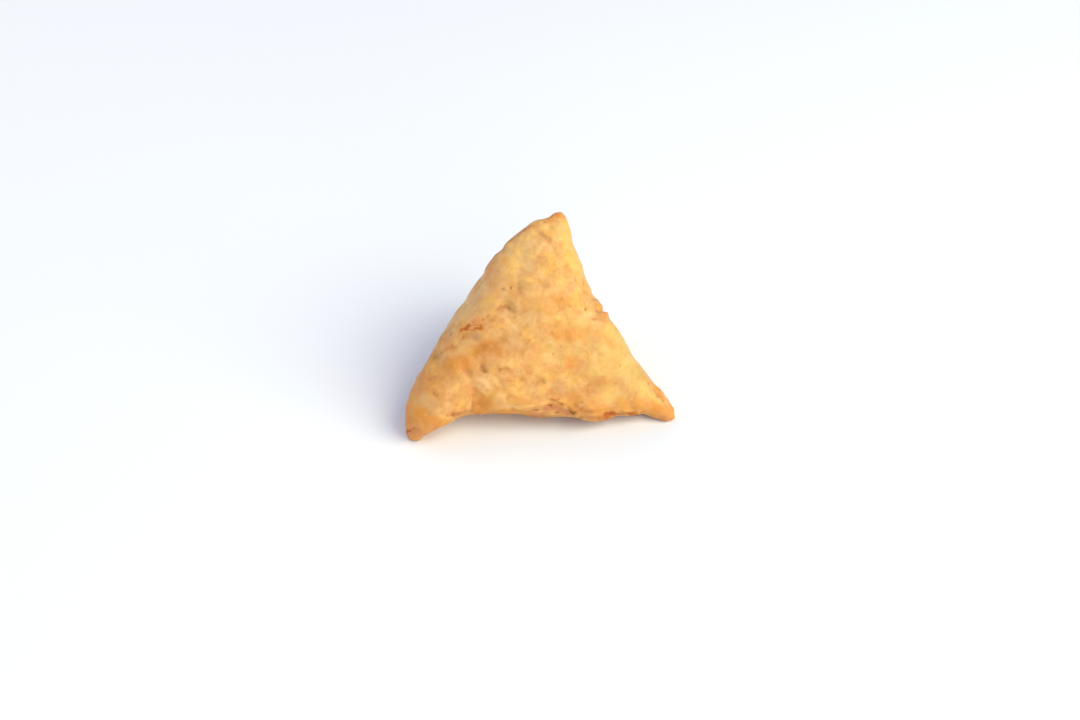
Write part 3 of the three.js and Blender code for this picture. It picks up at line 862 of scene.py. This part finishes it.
            (1.2, 447, 415, 452, 414), (1.2, 473, 323, 475, 321),
        ],
        STRONG: [
            (1.4, 460, 331, 464, 329), (1.2, 464, 329, 468, 327), (1.1, 475, 328, 481, 327),
            (3, 606, 415, 613, 414), (1.6, 637, 413, 644, 411), (1.3, 560, 404, 562, 404),
        ],
        FULL: [
            (1.4, 477.5, 328, 480, 327.5), (2.3, 632, 413.5, 637, 413.5), (1.6, 549, 405, 551, 406),
            (1.7, 406, 433, 410, 431), (1.3, 407, 432, 409, 431), (1.5, 571, 413, 574, 414),
            (1.8, 632, 413, 636, 412),
        ],
    },
    "pit": {
        FAINT: [
            (1.5, 500, 309, 504, 311), (1.4, 508, 310, 514, 312), (1.2, 520, 410, 522, 410),
            (1.2, 477, 338), (1, 578, 286), (1, 623, 375), (1, 632, 372), (1, 604, 336), (1.2, 450, 393),
            (1.2, 411, 388), (1.1, 417, 425),
        ],
        CLEAR: [
            (1.7, 500, 306, 508, 309), (1.3, 550, 406), (1.1, 490, 283), (1, 562, 298), (1.2, 566, 378),
            (1.2, 620, 366), (1.2, 582, 402), (1.3, 507, 397), (1.2, 561, 346), (1.4, 659, 396),
            (1.4, 543, 381),
        ],
        STRONG: [
            (2.3, 481.5, 367, 484, 369), (1.6, 557, 412, 558, 413), (1.7, 569, 411, 574, 414),
            (1.4, 534, 410, 537, 410), (1.4, 462, 337), (1.3, 450, 333), (1.4, 544.5, 222),
            (1.4, 555.5, 249.5), (1.3, 575, 281), (1.2, 571, 306), (1.2, 553, 354),
        ],
        FULL: [(1.4, 502.7, 289), (1.4, 510, 287.3), (1.5, 583, 285), (1.5, 585.6, 310)],
    },
}

# %% From marks to shares
# Width, shift and seeds of each warp.
WARPS = [(4.5, 1.2, (31, 32, 33)), (1.6, 0.7, (34, 35, 36)), (0.8, 0.3, (37, 38, 39))]
SOFT = 2  # power of a mark's edge: the higher, the crisper
CRISP = {"scorched": 4, "pit": 3, "under": 4, "lime_and_highlight": 3}


def warp(p):
    """Shifts every point by noise, so that no mark keeps a clean outline."""
    return p + sum(
        shift * np.stack([lattice(p, width, seed) for seed in seeds], axis=1)
        for width, shift, seeds in WARPS
    )


warped = warp(skin)


def tint_share(tint):
    """A mark covers its strength times the exponential of minus a power of the distance over its
    half width. Marks lie over each other: one less the product of what each leaves bare."""
    bare = np.ones(len(skin))
    for strength, marks in MARKS[tint].items():
        for half_width, *places in marks:
            gap = gap_to_line(warped, warped[drop(places)])
            bare *= 1 - strength * np.exp(-((gap / (half_width * PIXEL)) ** CRISP.get(tint, SOFT)))
    return (1 - bare) * front_share


shares = {tint: tint_share(tint) for tint in MARKS}
print({tint: round(float(share[on_front].mean()), 3) for tint, share in shares.items()})

# %% The same tints all round
PATCHES = {  # width of the patches, where they start and are full in the noise, strength, seed
    "moist_and_shade": (9.0, 0.15, 0.7, 0.45, 41),
    "golden": (8.0, 0.0, 0.6, 0.5, 42),
    "toasted": (7.0, 0.15, 0.6, 0.6, 43),
    "ruddy": (5.5, 0.3, 0.7, 0.4, 44),
    "floury_and_sheen": (4.0, 0.3, 0.7, 0.5, 45),
    "browned_and_edge_shade": (4.5, 0.3, 0.8, 0.5, 46),
    "scorched": (2.8, 0.72, 0.9, 0.5, 47),
}
for tint, (width, start, full, strength, seed) in PATCHES.items():
    patches = strength * fade(lattice(warped, width, seed), start, full)
    shares[tint] = np.maximum(shares[tint], patches * (1 - front_share))
TOE_BROWNING, TOE_REACH = 0.75, 11.0
toes = TOE_BROWNING * (1 - fade(gap_to_tip(skin), 0.0, TOE_REACH)) * (1 - front_share)
shares["toasted"] = 1 - (1 - shares["toasted"]) * (1 - toes)
PORE_BROWNING = 0.5
shares["pit"] = np.maximum(shares["pit"], PORE_BROWNING * pore_share)
print({tint: round(float(share.mean()), 3) for tint, share in shares.items()})

# %% The piece
def mesh_piece(name, points, faces):
    """A mesh object in metres, with its place in its mesh."""
    mesh = bpy.data.meshes.new(name)
    mesh.from_pydata((points * MM).tolist(), [], faces.tolist())
    mesh.shade_smooth()
    piece = bpy.data.objects.new(name, mesh)
    bpy.context.scene.collection.objects.link(piece)
    return piece


crust = mesh_piece("fried_crust", surface, faces)
for tint, share in shares.items():
    crust.data.attributes.new(tint, "FLOAT", "POINT").data.foreach_set("value", share.astype(np.float32))
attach(crust, "root")
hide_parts("samosa")
print(len(crust.data.polygons), "triangles,", len(shares), "tints")

# %% [markdown]
# ## The dough as a material
#
# Fried wheat dough is a matt crust with a thin film of oil. Light goes a little way into it, which
# warms the shaded side of each lump. A painted image would be quick, but it has one resolution and
# a seam. So the colour starts from a fine mottling of pale and deep crust, and each tint is mixed in by
# its share. What makes dough deeper in colour takes away blue most and red least, so pale and deep lie
# on that line.

# %% Colours and a node helper
def linear(code):
    """An sRGB hex code as linear light: the curve is straight below 0.04045 and a power above."""
    c = np.array([int(code[k:k + 2], 16) for k in (1, 3, 5)]) / 255
    return (*np.where(c <= 0.04045, c / 12.92, ((c + 0.055) / 1.055) ** 2.4).tolist(), 1)


def add(tree, kind, settings=None, inputs=None):
    """Adds a node: `settings` are its properties, and `inputs` its sockets by name or number, each
    a value or the output that it is linked to."""
    made = tree.nodes.new("ShaderNode" + kind)
    for name, value in (settings or {}).items():
        setattr(made, name, value)
    for socket, value in (inputs or {}).items():
        if isinstance(value, bpy.types.NodeSocket):
            tree.links.new(value, made.inputs[socket])
        else:
            made.inputs[socket].default_value = value
    return made


def new_tree(name):
    """A material with an empty node tree."""
    material = bpy.data.materials.new(name)
    material.use_nodes = True
    material.node_tree.nodes.clear()
    return material, material.node_tree


print("white:", linear("#ffffff"))

# %% Fried wheat dough
PALE, DEEP = "#d9aa66", "#ba7b36"
YELLOW, PEACH = "#dca440", "#c98753"
DEEP_FROM, DEEP_FULL = 0.28, 0.72  # of the mottling
TINTS = {
    "moist_and_shade": "#bd8e5a",  # soaked with oil; on the front also painted shade in grooves and on the left flank, which turns away from the key lamp
    "golden": "#eab763",  # thin and quickly fried; on the front also painted light on lumps and the lower roll that face the lamps
    "lime_and_highlight": "#c6a658",  # pale yellow-green; painted highlight along the ridges and on the right side, which face the key lamp
    "toasted": "#c98431",
    "ruddy": "#cc7a3c",
    "floury_and_sheen": "#d8ac6e",  # dry and dusty; on the front also painted sheen on the left flank and painted highlights on lit lumps
    # browned dough; on the front also painted shade along the lower edge
    "browned_and_edge_shade": "#ae6f32",
    "under": "#ba7545",  # painted shade on the sheet set back below the seam and along the lower edge
    "scorched": "#a44e06",
    "pit": "#8f5a1e",
}
NOISES = {  # name: (width of its patches in mm, detail, roughness, distortion)
    "patches": (6.0, 3, 0.8, 0.35),
    "hue": (5.0, 2, 0.7, 0.5),
    "grain": (1.1, 2, 0.5, 0.3),
    "fine": (0.5, 3, 0.5, 0),
}
RANGES = {  # name: (noise, two values of it, what they are turned into)
    "weak_grain": ("grain", 0, 1, -0.12, 0.12),
    "yellow": ("hue", 0.52, 0.75, 0, 0.8),
    "peach": ("hue", 0.48, 0.25, 0, 0.8),
    "loose": ("patches", 0.3, 0.7, 1.4, 0.6),
    "crumbly": ("grain", 0.3, 0.7, -0.35, 0.35),
    "matt": ("patches", 0.3, 0.7, 0.42, 0.6),
}
BUMPS = {"grain": 0.04, "fine": 0.015}  # mm high, too fine for the mesh
FACTOR, COLOUR_A, COLOUR_B, COLOUR_OUT = 0, 6, 7, 2  # sockets of a Mix node for colours

dough, tree = new_tree("fried_wheat_dough")
place = add(tree, "TexCoord").outputs["Object"]
parts = {}
for name, (size, detail, roughness, distortion) in NOISES.items():
    parts[name] = add(tree, "TexNoise", inputs={
        "Vector": place, "Scale": 1 / (size * MM), "Detail": detail, "Roughness": roughness,
        "Distortion": distortion}).outputs[0]
for name, (source, *ends) in RANGES.items():
    parts[name] = add(tree, "MapRange", inputs={0: parts[source], **dict(enumerate(ends, 1))}).outputs[0]
tone = add(tree, "Math", {"operation": "ADD"}, {0: parts["patches"], 1: parts["weak_grain"]})
depth = add(tree, "MapRange", inputs={0: tone.outputs[0], 1: DEEP_FROM, 2: DEEP_FULL})
breakup = add(tree, "Math", {"operation": "ADD"}, {0: parts["loose"], 1: parts["crumbly"]})
layers = [(depth.outputs[0], DEEP), (parts["yellow"], YELLOW), (parts["peach"], PEACH)]
for tint, code in TINTS.items():
    share = add(tree, "Attribute", {"attribute_name": tint}).outputs["Fac"]
    broken = add(tree, "Math", {"operation": "MULTIPLY", "use_clamp": True}, {
        0: share, 1: breakup.outputs[0]})
    layers.append((broken.outputs[0], code))
colour = linear(PALE)
for share, code in layers:
    colour = add(tree, "Mix", {"data_type": "RGBA"}, {
        FACTOR: share, COLOUR_A: colour, COLOUR_B: linear(code)}).outputs[COLOUR_OUT]
bump = None
for name, height in BUMPS.items():
    below = {} if bump is None else {"Normal": bump.outputs[0]}
    bump = add(tree, "Bump", inputs={
        "Strength": 1.0, "Distance": height * MM, "Height": parts[name], **below})
shader = add(tree, "BsdfPrincipled", inputs={
    "Base Color": colour,
    "Roughness": parts["matt"],
    "IOR": 1.45,  # of frying oil, nearly
    "Specular IOR Level": 0.3,
    "Subsurface Weight": 0.12,
    "Subsurface Radius": (1.0, 0.45, 0.2),  # red goes farthest into dough
    "Subsurface Scale": 1.5 * MM,
    "Normal": bump.outputs[0],
})
add(tree, "OutputMaterial", inputs={"Surface": shader.outputs[0]})
crust.data.materials.append(dough)
print(dough.name, len(tree.nodes), "nodes")

# %% [markdown]
# ## Table, light and camera
#
# A white table and soft lamps show the crust as food is usually shown. One large lamp stands to the
# right, weaker ones fill in all round, and a bluish room gives the shadow its cool tone.

# %% A white table
TABLE_HALF = 6.0  # metres, so that its edge is never seen
TABLE_WHITE, TABLE_ROUGHNESS = 0.8, 0.6


def table():
    """A level square at the height of the toes."""
    s = TABLE_HALF
    mesh = bpy.data.meshes.new("table")
    mesh.from_pydata([(-s, -s, 0), (s, -s, 0), (s, s, 0), (-s, s, 0)], [], [(0, 1, 2, 3)])
    top = bpy.data.objects.new("table", mesh)
    bpy.context.scene.collection.objects.link(top)
    paint, nodes = new_tree("white_laminate")  # matt pressed melamine: an even white, no mirror image
    white = add(nodes, "BsdfPrincipled", inputs={
        "Base Color": (TABLE_WHITE,) * 3 + (1,), "Roughness": TABLE_ROUGHNESS})
    add(nodes, "OutputMaterial", inputs={"Surface": white.outputs[0]})
    mesh.materials.append(paint)
    return top


print(table().name, 2 * TABLE_HALF, "m wide")

# %% Lamps and room
LAMPS = {  # turn from the front to the right and height, degrees; width, m; light, W of red, green, blue
    "key": (62, 43, 1.2, (19.4, 18.9, 14.2)),
    "front": (15, 22, 0.8, (5.2, 4.2, 3.5)),
    "left": (-95, 12, 0.8, (4.9, 5.2, 5.2)),
    "back_fill": (-140, 40, 0.9, (4.6, 3.4, 1.6)),
}
LAMP_DISTANCE = 1.2
ROOM = (0.18, 0.31, 0.62)  # linear light of the air around: a bluish grey


def lamp(name, turn, height, width, light):
    """A round soft lamp that looks at the samosa from LAMP_DISTANCE away."""
    turn, height = np.radians([turn, height])
    away = np.array([np.sin(turn) * np.cos(height), -np.cos(turn) * np.cos(height), np.sin(height)])
    data = bpy.data.lights.new(name, "AREA")
    data.shape, data.size, data.energy = "DISK", width, max(light)
    data.color = [part / max(light) for part in light]
    made = bpy.data.objects.new(name, data)
    made.location = LAMP_DISTANCE * away
    made.rotation_euler = (np.pi / 2 - height, 0, turn)
    bpy.context.scene.collection.objects.link(made)


for name, settings in LAMPS.items():
    lamp(name, *settings)
room = bpy.data.worlds.new("room")
room.use_nodes = True
room.node_tree.nodes["Background"].inputs["Color"].default_value = (*ROOM, 1)
bpy.context.scene.world = room
bpy.context.scene.view_settings.view_transform = "Standard"
print(len(LAMPS), "lamps")

# %% Camera
camera_data = bpy.data.cameras.new("camera")
camera_data.lens = LENS
camera_data.sensor_width = SENSOR
camera = bpy.data.objects.new("camera", camera_data)
camera.location = (LOOK_AT + CAMERA_DISTANCE * TO_FRONT) * MM
camera.rotation_euler = (np.pi / 2 - FRONT_LEAN, 0, 0)
bpy.context.scene.collection.objects.link(camera)
bpy.context.scene.camera = camera
print("camera at, m:", [round(part, 3) for part in camera.location])
